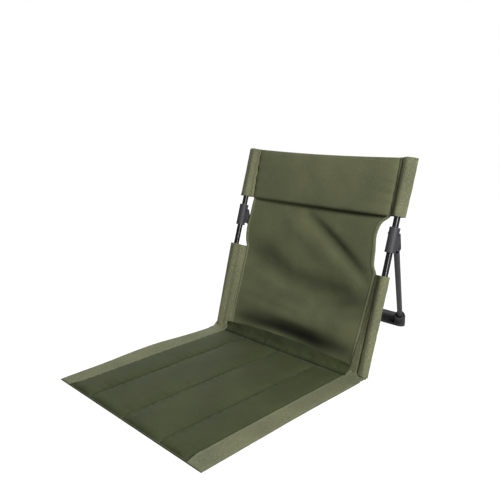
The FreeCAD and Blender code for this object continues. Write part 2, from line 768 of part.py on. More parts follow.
doc.recompute()
for obj in doc.Objects:
    if {"Invalid", "Error"} & set(obj.State):
        raise ValueError(f"{obj.Label} failed: {obj.State}")
for node in nodes:
    if node.Shape.isNull() or not node.Shape.isValid():
        raise ValueError(f"{node.Label} has no valid shape")
    node.Shape.exportStep(f"parts/{node.Label}.step")
    box = node.Shape.BoundBox
    print(f"{node.Label:22s} solids {len(node.Shape.Solids)} volume {node.Shape.Volume:10.1f} "
          f"x {box.XMin:7.1f} {box.XMax:7.1f} y {box.YMin:7.1f} {box.YMax:7.1f} "
          f"z {box.ZMin:6.2f} {box.ZMax:6.1f}")
print("hinge axes (m):", [round(value / 1000, 6) for value in pivot_point(RIGHT)], hinge_y / 1000)
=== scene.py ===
import math

import bmesh
import bpy
from mathutils import Matrix, Vector, noise
from mathutils.bvhtree import BVHTree


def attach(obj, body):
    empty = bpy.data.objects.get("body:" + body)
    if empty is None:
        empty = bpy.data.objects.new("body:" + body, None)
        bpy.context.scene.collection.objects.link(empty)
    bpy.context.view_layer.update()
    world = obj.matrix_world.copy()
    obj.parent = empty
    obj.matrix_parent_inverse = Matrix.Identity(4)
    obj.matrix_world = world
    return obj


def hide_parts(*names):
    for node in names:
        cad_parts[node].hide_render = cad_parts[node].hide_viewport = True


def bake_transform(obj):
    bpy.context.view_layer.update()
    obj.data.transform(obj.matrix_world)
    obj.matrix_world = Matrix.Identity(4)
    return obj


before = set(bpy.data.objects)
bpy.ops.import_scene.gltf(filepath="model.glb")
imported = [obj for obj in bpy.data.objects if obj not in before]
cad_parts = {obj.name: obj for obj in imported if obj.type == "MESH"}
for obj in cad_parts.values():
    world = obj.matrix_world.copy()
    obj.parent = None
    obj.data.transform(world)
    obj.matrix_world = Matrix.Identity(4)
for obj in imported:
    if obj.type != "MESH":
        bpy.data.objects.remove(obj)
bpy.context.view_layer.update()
sides = (("left", -1), ("right", 1))
scene = bpy.context.scene
scene.view_settings.view_transform = "Standard"
print("frame loaded")


# Camera at the photograph's angle
view = {"place": (0.80454, -0.90939, 0.52435), "yaw": 45.0, "pitch": 13.45, "roll": -0.16, "lens": 40.93}
cameraData = bpy.data.cameras.new("camera")
cameraData.lens = view["lens"]
camera = bpy.data.objects.new("camera", cameraData)
scene.collection.objects.link(camera)
turn = Matrix.Rotation(math.radians(view["yaw"]), 4, "Z")
turn = turn @ Matrix.Rotation(math.radians(90 - view["pitch"]), 4, "X")
turn = turn @ Matrix.Rotation(math.radians(view["roll"]), 4, "Z")
camera.matrix_world = Matrix.Translation(view["place"]) @ turn
scene.camera = camera
print("camera set")


# Small helpers for meshes
def ease(value, low, high):
    share = min(max((value - low) / (high - low), 0), 1)
    return share * share * (3 - 2 * share)


def mix(a, b, share):
    return a + (b - a) * share


def waver(x, y, size, seed=0):
    return noise.noise(Vector((x / size, y / size, seed * 7.31)))  # about -1 to 1


def finishPiece(name, mesh, material, body):
    data = bpy.data.meshes.new(name)
    mesh.to_mesh(data)
    mesh.free()
    piece = bpy.data.objects.new(name, data)
    scene.collection.objects.link(piece)
    data.materials.append(material)
    data.shade_smooth()
    if body:
        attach(piece, body)
    return piece


def clothGrid(width, length, across, along):
    mesh = bmesh.new()
    layer = mesh.loops.layers.uv.new("UVMap")
    bmesh.ops.create_grid(mesh, x_segments=across, y_segments=along, size=0.5, calc_uvs=True)
    for face in mesh.faces:
        for loop in face.loops:
            loop[layer].uv = (loop[layer].uv.x * width, loop[layer].uv.y * length)
    return mesh


def shapeGrid(mesh, place):
    for vertex in mesh.verts:
        vertex.co = place(vertex.co.x + 0.5, vertex.co.y + 0.5)


def faceOut(mesh):
    bmesh.ops.recalc_face_normals(mesh, faces=mesh.faces)


def thicken(piece, thickness, offset=-1):
    shell = piece.modifiers.new("thickness", "SOLIDIFY")
    shell.thickness = thickness
    shell.offset = offset


def shadeCloth(piece, darkness):  # painted shade of seams and folds, from 0 to 1
    shades = [min(max(darkness(vertex.co), 0), 1) for vertex in piece.data.vertices]
    layer = piece.data.attributes.new("shade", "FLOAT", "POINT")
    layer.data.foreach_set("value", shades)


def bell(value, centre, width):
    return math.exp(-((value - centre) / width) ** 2)


def treeOf(*pieces):
    joined = bmesh.new()
    for piece in pieces:
        evaluated = piece.evaluated_get(bpy.context.evaluated_depsgraph_get())
        data = evaluated.to_mesh()
        joined.from_mesh(data)
        evaluated.to_mesh_clear()
    tree = BVHTree.FromBMesh(joined)
    joined.free()
    return tree


def through(points, share):  # a smooth curve through all the points
    place = min(max(share, 0), 1) * (len(points) - 1)
    k = min(int(place), len(points) - 2)
    t = place - k
    a, b = points[max(k - 1, 0)], points[k]
    c, d = points[k + 1], points[min(k + 2, len(points) - 1)]
    return tuple(
        0.5 * (2 * q + (r - p) * t + (2 * p - 5 * q + 4 * r - w) * t * t
               + (3 * q - p - 3 * r + w) * t ** 3)
        for p, q, r, w in zip(a, b, c, d))


# The back leans. Its own frame has x across, n behind the uprights' plane and s up the slope.
back = {"lean": 17, "tubeX": 0.2165, "top": 0.458}
toBack = Matrix.Rotation(math.radians(-back["lean"]), 4, "X")


def leanBack(mesh):
    bmesh.ops.transform(mesh, matrix=toBack, verts=mesh.verts)


# Shader building blocks
def newGroup(name, inputs, outputs):
    group = bpy.data.node_groups.new(name, "ShaderNodeTree")
    for label, kind, value in inputs:
        socket = group.interface.new_socket(label, in_out="INPUT", socket_type=kind)
        if value is not None:
            socket.default_value = value
    for label, kind in outputs:
        group.interface.new_socket(label, in_out="OUTPUT", socket_type=kind)
    return group, group.nodes.new("NodeGroupInput"), group.nodes.new("NodeGroupOutput")


def mathNode(tree, operation, first, second=None):
    node = tree.nodes.new("ShaderNodeMath")
    node.operation = operation
    for socket, value in zip(node.inputs, (first, second)):
        if isinstance(value, (int, float)):
            socket.default_value = value
        elif value is not None:
            tree.links.new(value, socket)
    return node.outputs[0]


def vectorNode(tree, operation, first, second):
    node = tree.nodes.new("ShaderNodeVectorMath")
    node.operation = operation
    tree.links.new(first, node.inputs[0])
    if isinstance(second, tuple):
        node.inputs[1].default_value = second
    else:
        tree.links.new(second, node.inputs[1])
    return node.outputs[0]


def noiseNode(tree, vector, scale, detail=2.0, roughness=0.5, distortion=0.0):
    node = tree.nodes.new("ShaderNodeTexNoise")
    node.inputs["Scale"].default_value = scale
    node.inputs["Detail"].default_value = detail
    node.inputs["Roughness"].default_value = roughness
    node.inputs["Distortion"].default_value = distortion
    tree.links.new(vector, node.inputs["Vector"])
    return node.outputs[0]


def rangeNode(tree, value, low, high, newLow=0.0, newHigh=1.0):
    node = tree.nodes.new("ShaderNodeMapRange")
    labels = ("From Min", "From Max", "To Min", "To Max")
    for label, number in zip(labels, (low, high, newLow, newHigh)):
        node.inputs[label].default_value = number
    tree.links.new(value, node.inputs["Value"])
    return node.outputs[0]


def mixColor(tree, factor, first, second, blend="MIX"):
    node = tree.nodes.new("ShaderNodeMix")
    node.data_type = "RGBA"
    node.blend_type = blend
    for socket, value in ((node.inputs[0], factor), (node.inputs[6], first), (node.inputs[7], second)):
        if isinstance(value, tuple):
            socket.default_value = (*value, 1)
        elif isinstance(value, (int, float)):
            socket.default_value = value
        else:
            tree.links.new(value, socket)
    return node.outputs[2]


# Plain weave: rounded threads that pass over and under each other
weaveGroup, groupIn, groupOut = newGroup(
    "weave", [("Vector", "NodeSocketVector", None), ("Pitch", "NodeSocketFloat", 0.0008)],
    [("Height", "NodeSocketFloat"), ("Over", "NodeSocketFloat")])
scaled = vectorNode(weaveGroup, "DIVIDE", groupIn.outputs["Vector"], groupIn.outputs["Pitch"])
parts = weaveGroup.nodes.new("ShaderNodeSeparateXYZ")
weaveGroup.links.new(scaled, parts.inputs[0])
ridges = []
for axis in (0, 1):
    wave = mathNode(weaveGroup, "SINE", mathNode(weaveGroup, "MULTIPLY", parts.outputs[axis], math.pi))
    ridges.append(mathNode(weaveGroup, "ABSOLUTE", wave))
checks = weaveGroup.nodes.new("ShaderNodeTexChecker")
checks.inputs["Scale"].default_value = 1
weaveGroup.links.new(scaled, checks.inputs["Vector"])
pick = weaveGroup.nodes.new("ShaderNodeMix")
weaveGroup.links.new(checks.outputs["Fac"], pick.inputs[0])
weaveGroup.links.new(ridges[0], pick.inputs[2])
weaveGroup.links.new(ridges[1], pick.inputs[3])
weaveGroup.links.new(pick.outputs[0], groupOut.inputs["Height"])
weaveGroup.links.new(checks.outputs["Fac"], groupOut.inputs["Over"])

# Heather: short streaks of lighter and darker yarn along both directions of the cloth
heatherGroup, groupIn, groupOut = newGroup(
    "heather", [("Vector", "NodeSocketVector", None), ("Yarn", "NodeSocketFloat", 0.0012)],
    [("Fac", "NodeSocketFloat")])
scaled = vectorNode(heatherGroup, "DIVIDE", groupIn.outputs["Vector"], groupIn.outputs["Yarn"])
streaks = [
    noiseNode(heatherGroup, vectorNode(heatherGroup, "MULTIPLY", scaled, stretch), 1, 1.5)
    for stretch in ((1.0, 0.22, 1.0), (0.22, 1.0, 1.0))]
total = mathNode(heatherGroup, "ADD", *streaks)
heatherGroup.links.new(rangeNode(heatherGroup, total, 0.82, 1.18), groupOut.inputs["Fac"])

# Cloth shade: broad patches of dye and dust, and soft handling creases as a height
handlingGroup, groupIn, groupOut = newGroup(
    "handling", [("Vector", "NodeSocketVector", None), ("Size", "NodeSocketFloat", 0.05)],
    [("Patch", "NodeSocketFloat"), ("Crease", "NodeSocketFloat")])
scaled = vectorNode(handlingGroup, "DIVIDE", groupIn.outputs["Vector"], groupIn.outputs["Size"])
patches = noiseNode(handlingGroup, scaled, 0.7, 3.0)
handlingGroup.links.new(rangeNode(handlingGroup, patches, 0.3, 0.7), groupOut.inputs["Patch"])
crease = mathNode(handlingGroup, "SUBTRACT", noiseNode(handlingGroup, scaled, 1.6, 2.0, 0.45, 0.6), 0.5)
handlingGroup.links.new(mathNode(handlingGroup, "ABSOLUTE", crease), groupOut.inputs["Crease"])

# Grain: the fine texture of a moulded or coated surface, with sparse scuffs
grainGroup, groupIn, groupOut = newGroup(
    "grain", [("Vector", "NodeSocketVector", None), ("Size", "NodeSocketFloat", 0.0006)],
    [("Height", "NodeSocketFloat"), ("Scuff", "NodeSocketFloat")])
scaled = vectorNode(grainGroup, "DIVIDE", groupIn.outputs["Vector"], groupIn.outputs["Size"])
grainGroup.links.new(noiseNode(grainGroup, scaled, 1, 2.0), groupOut.inputs["Height"])
drawn = vectorNode(grainGroup, "MULTIPLY", scaled, (0.09, 0.09, 0.012))
scratches = noiseNode(grainGroup, drawn, 1, 4.0, 0.6)
grainGroup.links.new(rangeNode(grainGroup, scratches, 0.56, 0.74), groupOut.inputs["Scuff"])


def newMaterial(name):
    material = bpy.data.materials.new(name)
    material.use_nodes = True
    tree = material.node_tree
    return material, tree, tree.nodes["Principled BSDF"]


def groupNode(tree, group, vector, **values):
    node = tree.nodes.new("ShaderNodeGroup")
    node.node_tree = group
    tree.links.new(vector, node.inputs["Vector"])
    for label, value in values.items():
        node.inputs[label].default_value = value
    return node


def bumpInto(tree, shader, height, distance, strength=1.0):
    bump = tree.nodes.new("ShaderNodeBump")
    bump.inputs["Distance"].default_value = distance
    bump.inputs["Strength"].default_value = strength
    tree.links.new(height, bump.inputs["Height"])
    tree.links.new(bump.outputs[0], shader.inputs["Normal"])


clothLooks = {
    "backCloth": {"color": (0.088, 0.096, 0.048), "light": (0.124, 0.132, 0.073), "pitch": 0.0008,
                  "streak": 0.45, "rib": 0, "sheen": 0.12},
    "headrestCloth": {"color": (0.095, 0.103, 0.053), "light": (0.131, 0.139, 0.078), "pitch": 0.0008,
                      "streak": 0.45, "rib": 0, "sheen": 0.12},
    "seatCloth": {"color": (0.041, 0.048, 0.021), "light": (0.060, 0.069, 0.031), "pitch": 0.0007,
                  "streak": 0.4, "rib": 0, "sheen": 0.03},
    "sleeveCloth": {"color": (0.102, 0.109, 0.059), "light": (0.184, 0.192, 0.113), "pitch": 0.0009,
                    "streak": 0.95, "rib": 0, "sheen": 0.1},
    "bandWebbing": {"color": (0.107, 0.116, 0.064), "light": (0.186, 0.196, 0.118), "pitch": 0.0010,
                    "streak": 0.6, "rib": 0.0026, "sheen": 0.1},
    "hemCloth": {"color": (0.120, 0.130, 0.070), "light": (0.165, 0.172, 0.100), "pitch": 0.0008,
                 "streak": 0.5, "rib": 0, "sheen": 0.1},
    "baseCloth": {"color": (0.045, 0.050, 0.030), "light": (0.065, 0.070, 0.045), "pitch": 0.0010,
                  "streak": 0.4, "rib": 0, "sheen": 0.05},
}
allCloth = {  # what every cloth has in common
    "yarnPitches": 1.4, "handling": 0.06, "over": 0.12, "gap": 0.72, "rough": (0.94, 0.82),
    "patchDark": (0.82, 0.82, 0.82), "patchLight": (1.08, 1.08, 1.04), "shade": (0.006, 0.007, 0.004),
    "sheenRough": 0.5, "sheenTint": (0.62, 0.66, 0.42, 1), "specular": 0.14,
    "weaveHeight": 0.5, "ribHeight": 1.1, "creaseHeight": 6, "bump": 0.00022, "bumpStrength": 0.8,
}


def clothMaterial(name, look):
    material, tree, shader = newMaterial(name)
    coordinates = tree.nodes.new("ShaderNodeTexCoord")
    flatPlace = coordinates.outputs["UV"]
    weave = groupNode(tree, weaveGroup, flatPlace, Pitch=look["pitch"])
    heather = groupNode(tree, heatherGroup, flatPlace, Yarn=look["pitch"] * allCloth["yarnPitches"])
    handling = groupNode(tree, handlingGroup, coordinates.outputs["Object"], Size=allCloth["handling"])
    streak = mathNode(tree, "MULTIPLY", heather.outputs["Fac"], look["streak"])
    threads = mathNode(tree, "MULTIPLY", weave.outputs["Over"], allCloth["over"])
    yarn = mixColor(tree, mathNode(tree, "ADD", streak, threads), look["color"], look["light"])
    patch = mixColor(tree, handling.outputs["Patch"], allCloth["patchDark"], allCloth["patchLight"])
    tinted = mixColor(tree, 1.0, yarn, patch, "MULTIPLY")
    # painted shade: the colour is darker in the weave's hollows between threads
    gaps = rangeNode(tree, weave.outputs["Height"], 0.0, 0.7, allCloth["gap"], 1.0)
    woven = mixColor(tree, 1.0, tinted, gaps, "MULTIPLY")
    shade = tree.nodes.new("ShaderNodeAttribute")  # shadeCloth's painted shade, set against the photograph
    shade.attribute_name = "shade"
    finished = mixColor(tree, shade.outputs["Fac"], woven, allCloth["shade"])
    tree.links.new(finished, shader.inputs["Base Color"])
    rough = rangeNode(tree, heather.outputs["Fac"], 0, 1, *allCloth["rough"])
    tree.links.new(rough, shader.inputs["Roughness"])
    shader.inputs["Sheen Weight"].default_value = look["sheen"]
    shader.inputs["Sheen Roughness"].default_value = allCloth["sheenRough"]
    shader.inputs["Sheen Tint"].default_value = allCloth["sheenTint"]
    shader.inputs["Specular IOR Level"].default_value = allCloth["specular"]
    height = mathNode(tree, "MULTIPLY", weave.outputs["Height"], allCloth["weaveHeight"])
    if look["rib"]:
        across = tree.nodes.new("ShaderNodeSeparateXYZ")
        tree.links.new(flatPlace, across.inputs[0])
        turns = mathNode(tree, "MULTIPLY", across.outputs[1], 2 * math.pi / look["rib"])
        ribs = mathNode(tree, "MULTIPLY", mathNode(tree, "SINE", turns), allCloth["ribHeight"])
        height = mathNode(tree, "ADD", height, ribs)
    soft = mathNode(tree, "MULTIPLY", handling.outputs["Crease"], allCloth["creaseHeight"])
    height = mathNode(tree, "ADD", height, soft)
    bumpInto(tree, shader, height, allCloth["bump"], allCloth["bumpStrength"])
    return material


hardLooks = {
    "uprightSteel": {"color": (0.010, 0.010, 0.011), "scuffed": (0.020, 0.020, 0.022), "rough": (0.17, 0.23),
                     "grain": 0.0004, "depth": 0.0000005, "metal": 0.0, "specular": 0.5},
    "strutSteel": {"color": (0.042, 0.042, 0.045), "scuffed": (0.080, 0.080, 0.084), "rough": (0.34, 0.5),
                   "grain": 0.0005, "depth": 0.00001, "metal": 0.25, "specular": 0.3},
    "connectorPlastic": {"color": (0.038, 0.038, 0.041), "scuffed": (0.085, 0.085, 0.089),
                         "rough": (0.42, 0.56), "grain": 0.0007, "depth": 0.000008, "metal": 0.0,
                         "specular": 0.3},
    "footPlastic": {"color": (0.030, 0.030, 0.033), "scuffed": (0.060, 0.060, 0.063), "rough": (0.58, 0.72),
                    "grain": 0.0007, "depth": 0.000008, "metal": 0.0, "specular": 0.3},
    "plugPlastic": {"color": (0.018, 0.018, 0.019), "scuffed": (0.06, 0.06, 0.062), "rough": (0.5, 0.65),
                    "grain": 0.0006, "depth": 0.00003, "metal": 0.0, "specular": 0.3},
    "blackRivet": {"color": (0.03, 0.03, 0.032), "scuffed": (0.10, 0.10, 0.10), "rough": (0.3, 0.45),
                   "grain": 0.0004, "depth": 0.00001, "metal": 0.3, "specular": 0.3},
}
allHard = {"wear": 0.6, "cloudScale": 35, "cloudDetail": 3.0}


def hardMaterial(name, look):
    material, tree, shader = newMaterial(name)
    coordinates = tree.nodes.new("ShaderNodeTexCoord")
    grain = groupNode(tree, grainGroup, coordinates.outputs["Object"], Size=look["grain"])
    wear = mathNode(tree, "MULTIPLY", grain.outputs["Scuff"], allHard["wear"])
    tree.links.new(mixColor(tree, wear, look["color"], look["scuffed"]), shader.inputs["Base Color"])
    cloudy = noiseNode(tree, coordinates.outputs["Object"], allHard["cloudScale"], allHard["cloudDetail"])
    tree.links.new(rangeNode(tree, cloudy, 0.3, 0.7, *look["rough"]), shader.inputs["Roughness"])
    shader.inputs["Metallic"].default_value = look["metal"]
    shader.inputs["Specular IOR Level"].default_value = look["specular"]
    bumpInto(tree, shader, grain.outputs["Height"], look["depth"])
    return material


foamLook = {"cells": 900, "color": (0.60, 0.58, 0.50), "light": (0.74, 0.72, 0.64), "rough": 0.95,
            "depth": 0.0003}
threadLook = {"twist": 1800, "color": (0.13, 0.14, 0.080), "light": (0.26, 0.27, 0.18), "rough": 0.7}


def foamMaterial(name):
    material, tree, shader = newMaterial(name)
    coordinates = tree.nodes.new("ShaderNodeTexCoord")
    cells = tree.nodes.new("ShaderNodeTexVoronoi")
    cells.inputs["Scale"].default_value = foamLook["cells"]
    tree.links.new(coordinates.outputs["Object"], cells.inputs["Vector"])
    tint = mixColor(tree, cells.outputs["Distance"], foamLook["color"], foamLook["light"])
    tree.links.new(tint, shader.inputs["Base Color"])
    shader.inputs["Roughness"].default_value = foamLook["rough"]
    bumpInto(tree, shader, cells.outputs["Distance"], foamLook["depth"])
    return material


def threadMaterial(name):
    material, tree, shader = newMaterial(name)
    coordinates = tree.nodes.new("ShaderNodeTexCoord")
    twist = noiseNode(tree, coordinates.outputs["Object"], threadLook["twist"], 1.0)
    tint = mixColor(tree, twist, threadLook["color"], threadLook["light"])
    tree.links.new(tint, shader.inputs["Base Color"])
    shader.inputs["Roughness"].default_value = threadLook["rough"]
    return material


cloth = {name: clothMaterial(name, look) for name, look in clothLooks.items()}
hard = {name: hardMaterial(name, look) for name, look in hardLooks.items()}
foam = foamMaterial("paddingFoam")
thread = threadMaterial("sewingThread")
print("materials built")


# Seams: rows of short stitches laid on the finished cloth
stitch = {"length": 0.0026, "pitch": 0.0038, "radius": 0.00032, "proud": 0.0001, "reach": 0.05}


def sewRow(mesh, tree, points, down):
    down = Vector(down).normalized()
    lengths = [0]
    for a, b in zip(points, points[1:]):
        lengths.append(lengths[-1] + (Vector(b) - Vector(a)).length)
    count = int(lengths[-1] / stitch["pitch"])
    for number in range(count):
        spots = []
        for end in (0, stitch["length"]):
            reach = number * stitch["pitch"] + end
            k = max(i for i in range(len(points) - 1) if lengths[i] <= reach + 1e-9)
            share = min((reach - lengths[k]) / (lengths[k + 1] - lengths[k]), 1)
            aim = Vector(points[k]).lerp(Vector(points[k + 1]), share)
            hit = tree.ray_cast(aim - down * stitch["reach"], down)
            spots.append(hit[0] - down * stitch["proud"] if hit[0] else None)
        if None in spots or (spots[1] - spots[0]).length > 2 * stitch["length"]:
            continue
        along = spots[1] - spots[0]
        turn = along.to_track_quat("X", "Z").to_matrix().to_4x4()
        size = Matrix.Diagonal((along.length / 2, stitch["radius"], stitch["radius"], 1))
        place = Matrix.Translation((spots[0] + spots[1]) / 2) @ turn @ size
        bmesh.ops.create_icosphere(mesh, subdivisions=1, radius=1, matrix=place)


def sewn(name, body, cloths, rows, down):
    mesh = bmesh.new()
    tree = treeOf(*cloths)
    for points in rows:
        sewRow(mesh, tree, points, down)
    piece = finishPiece(name, mesh, thread, body)
    print(name, len(piece.data.polygons), "faces")


# Seat: base sheet, quilted pad, webbing at each side and a bound front edge
seat = {
    "halfWidth": 0.220, "front": -0.430, "rear": -0.0143, "baseTop": 0.0012,
    "padHalf": 0.1797, "padFront": -0.4275, "seamX": 0.110, "seamHalf": 0.0015, "seamHeight": 0.0008,
    "rise": 0.0078, "endRun": 0.013, "channelCells": 34, "seamCells": 3, "alongCells": 150,
    "frontFlat": 0.001, "rearFlat": 0.007, "rearSlope": 0.6, "archPower": 2.4, "endPower": 2.2,
    "pucker": 0.0016, "puckerPitch": 0.019, "puckerReach": 0.011, "slant": 0.0007, "slantPitch": 0.052,
    "seamShade": 0.75, "shadeAside": 0.0024, "shadeWidth": 0.0030,
    "bandInner": 0.1800, "bandLift": {-1: 0.0060, 1: 0.0022}, "bandThickness": 0.0016,
    "liftMiddle": -0.215, "liftLength": 0.105,
}
seamLines = [-seat["padHalf"], -seat["seamX"], 0.0, seat["seamX"], seat["padHalf"]]


def padColumns():
    columns = []
    for low, high in zip(seamLines, seamLines[1:]):
        middle, half = (low + high) / 2, (high - low) / 2 - seat["seamHalf"]
        for k in range(seat["channelCells"] + 1):
            columns.append(middle + half * math.sin(math.pi / 2 * (2 * k / seat["channelCells"] - 1)))
        if high != seamLines[-1]:
            cells = seat["seamCells"]
            columns += [high + seat["seamHalf"] * (2 * k / cells - 1) for k in range(1, cells)]
    return columns


def padHeight(x, y):
    height = seat["seamHeight"]
    for number, (low, high) in enumerate(zip(seamLines, seamLines[1:])):
        middle, half = (low + high) / 2, (high - low) / 2 - seat["seamHalf"]
        t = abs(x - middle) / half
        if t >= 1:
            continue
        front = y - seat["padFront"] - seat["frontFlat"]
        rear = seat["rear"] - seat["rearFlat"] - y
        near = min(min(front, seat["rearSlope"] * rear) / seat["endRun"], 1)
        if near <= 0:
            continue
        edge = (1 - t ** seat["archPower"]) ** 0.5 * (1 - (1 - near) ** seat["endPower"]) ** 0.5
        swell = 1 + 0.10 * waver(x, y, 0.11, number) + 0.05 * waver(x, y, 0.05, number + 9)
        height = seat["seamHeight"] + (seat["rise"] - seat["seamHeight"]) * edge * swell
        away = (1 - t) * half
        wave = math.sin(2 * math.pi * y / seat["puckerPitch"] + 3.2 * waver(x * 0.3, y, 0.06, number + 3))
        fade = math.exp(-away / seat["puckerReach"]) * min(t * 2, 1) * near
        fade *= 0.6 + 0.5 * waver(x, y, 0.09, number + 5)
        height += seat["pucker"] * wave * fade * edge ** 0.5
        slant = math.sin((x * 0.8 + y) * 2 * math.pi / seat["slantPitch"] + 2.5 * waver(x, y, 0.08, 2))
        height += seat["slant"] * slant * edge * max(waver(x, y, 0.10, 21), 0)
    return height


def sideLift(x, y):
    side = -1 if x < 0 else 1
    reach = ease(abs(x), 0.165, 0.220)
    along = bell(y, seat["liftMiddle"], seat["liftLength"])
    wave = 0.0011 * waver(y, side, 0.07, 4) * ease(abs(x), 0.17, 0.22)
    return max(seat["bandLift"][side] * reach * along + wave * (1 - ease(-y, 0.40, 0.43)), 0)


def seamSway(x, y):
    calm = ease(seat["padHalf"] - abs(x), 0, 0.02)
    return calm * (0.0018 * waver(x, y, 0.07, 6) + 0.0008 * waver(x, y, 0.025, 7))


columns = padColumns()
padLength = seat["rear"] - seat["padFront"]
quilt = clothGrid(2 * seat["padHalf"], padLength, len(columns) - 1, seat["alongCells"])
uvLayer = quilt.loops.layers.uv["UVMap"]
for face in quilt.faces:
    for loop in face.loops:
        column = round((loop.vert.co.x + 0.5) * (len(columns) - 1))
        loop[uvLayer].uv.x = columns[column] + seat["padHalf"]
shapeGrid(quilt, lambda u, w: Vector((
    columns[round(u * (len(columns) - 1))], mix(seat["padFront"], seat["rear"], w), seat["baseTop"])))
raised = bmesh.ops.extrude_face_region(quilt, geom=quilt.faces[:])["geom"]
for vertex in [part for part in raised if isinstance(part, bmesh.types.BMVert)]:
    x, y = vertex.co.x, vertex.co.y
    vertex.co.z += padHeight(x, y) + sideLift(x, y)
    vertex.co.x += seamSway(x, y)
faceOut(quilt)
seatPad = finishPiece("seat_quilt", quilt, cloth["seatCloth"], "seat")
shadeCloth(seatPad, lambda spot: sum(
    seat["seamShade"] * bell(spot.x, line + seat["shadeAside"], seat["shadeWidth"])
    for line in seamLines[1:]))
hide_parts("seat_cover")
print("seat quilt", len(seatPad.data.polygons), "faces")

seatFoam = {"aside": 0.0050, "front": 0.012, "rear": 0.014, "share": 0.62, "under": 0.0006}
for number, (low, high) in enumerate(zip(seamLines, seamLines[1:]), start=1):
    strip = bmesh.new()
    bmesh.ops.create_grid(strip, x_segments=16, y_segments=40, size=0.5)
    half = (high - low) / 2 - seat["seamHalf"] - seatFoam["aside"]
    shapeGrid(strip, lambda u, w: Vector((
        (low + high) / 2 + (2 * u - 1) * half,
        mix(seat["padFront"] + seatFoam["front"], seat["rear"] - seatFoam["rear"], w),
        seat["baseTop"] + 0.0002)))
    top = bmesh.ops.extrude_face_region(strip, geom=strip.faces[:])["geom"]
    for vertex in [part for part in top if isinstance(part, bmesh.types.BMVert)]:
        height = seatFoam["share"] * padHeight(vertex.co.x, vertex.co.y)
        vertex.co.z += max(height - seatFoam["under"], 0.0003)
    faceOut(strip)
    filling = finishPiece(f"seat_filling_{number}", strip, foam, "seat")
    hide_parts(f"seat_foam_{number}")

base = clothGrid(2 * seat["halfWidth"], seat["rear"] - seat["front"], 88, 84)
shapeGrid(base, lambda u, w: Vector((
    mix(-seat["halfWidth"], seat["halfWidth"], u), mix(seat["front"], seat["rear"], w), 0.0010)))
for vertex in base.verts:
    vertex.co.z += sideLift(vertex.co.x, vertex.co.y)
seatBase = finishPiece("seat_underside", base, cloth["baseCloth"], "seat")
thicken(seatBase, 0.0009)
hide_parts("seat_base")

bands = []
for word, side in sides:
    strip = clothGrid(0.040, seat["rear"] - seat["front"], 32, 156)

    def bandPlace(u, w):
        y = mix(seat["front"], seat["rear"], w)
        start = seat["front"]
        inner = seat["bandInner"] - 0.0012 + 0.006 * (1 - ease(y, start, start + 0.030))
        x = side * mix(inner, seat["halfWidth"], u)
        crown = 0.0006 * math.sin(math.pi * u) + 0.0009 * bell(u, 0.05, 0.035)  # and a ridge at the seam
        tuck = -0.0007 * ease(u, 0.92, 1.0) - 0.0006 * (1 - ease(y, start, start + 0.004))
        return Vector((x + side * 0.0012 * waver(y, side, 0.08, 8) * u, y,
                       seat["baseTop"] + seat["bandThickness"] + crown + tuck + sideLift(x, y)))

    shapeGrid(strip, bandPlace)
    if side < 0:
        bmesh.ops.reverse_faces(strip, faces=strip.faces)
    band = finishPiece(f"seat_band_{word}", strip, cloth["bandWebbing"], "seat")
    thicken(band, 0.0015)
    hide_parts(f"side_band_{word}")
    bands.append(band)

hem = clothGrid(2 * seat["bandInner"], 0.0105, 110, 7)
shapeGrid(hem, lambda u, w: Vector((
    mix(-seat["bandInner"], seat["bandInner"], u), mix(seat["front"], seat["padFront"] + 0.0080, w),
    seat["baseTop"] + 0.0011 + 0.0002 * waver(u, w, 0.05, 61) - 0.0006 * ease(w, 0.2, 0.5))))
frontHem = finishPiece("seat_front_hem", hem, cloth["seatCloth"], "seat")
thicken(frontHem, 0.0010)
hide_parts("front_hem")
print("seat pieces made")

seamRows = []
for x in (-seat["seamX"], 0.0, seat["seamX"]):
    run = [mix(seat["padFront"] + 0.002, seat["rear"] - 0.002, k / 90) for k in range(91)]
    seamRows.append([(x + seamSway(x, y), y, 0) for y in run])
for x in (-seat["bandInner"] - 0.003, seat["bandInner"] + 0.003, -0.2165, 0.2165):
    seamRows.append([(x, seat["padFront"] + 0.002, 0), (x, seat["rear"] - 0.002, 0)])
seamRows.append([(-0.178, seat["front"] + 0.0016, 0), (0.178, seat["front"] + 0.0016, 0)])
seamRows.append([(-0.178, seat["rear"] - 0.0045, 0), (0.178, seat["rear"] - 0.0045, 0)])
sewn("seat_stitches", "seat", [seatPad, frontHem, *bands], seamRows, (0, 0, -1))


# Lap: the cloth's fold between the seat and the foot of the back
lap = {"half": 0.1837, "height": 0.027, "edgeHeight": 0.020, "rear": 0.0133, "edgeRear": 0.0023,
       "start": -0.0132, "low": 0.0009, "thickness": 0.0014,
       "seamShade": 0.7, "patchShade": 0.4, "crestShade": 0.2}


def lapPlace(u, w):
    x = mix(-lap["half"], lap["half"], u)
    fullness = 1 - (x / 0.184) ** 2
    height = mix(lap["edgeHeight"], lap["height"], fullness) * (1 + 0.05 * waver(x, 0, 0.05, 1))
    rear = mix(lap["edgeRear"], lap["rear"], fullness)
    crest = 0.5 * rear
    start = lap["start"]
    line = [(start, 0), (start * 0.55, 0.08), (start * 0.12, 0.35), (-start * 0.12, 0.7), (crest, 1)]
    line += [(mix(crest, rear, run), fall) for run, fall in ((0.45, 0.78), (0.75, 0.38), (1, 0.1))]
    y, share = through(line, w)
    crumple = 0.0013 * waver(x, w * 0.06, 0.028, 5) * math.sin(math.pi * w)
    dents = 0.0036 * abs(waver(x, w * 0.05, 0.034, 15)) + 0.0022 * waver(x, w * 0.05, 0.013, 16)
    crumple -= bell(w, 0.22, 0.14) * dents
    rise = 0.0022 * waver(x, 0, 0.045, 17) * math.sin(math.pi * min(w * 1.2, 1))
    return Vector((x, y + crumple, lap["low"] + share * height + rise))


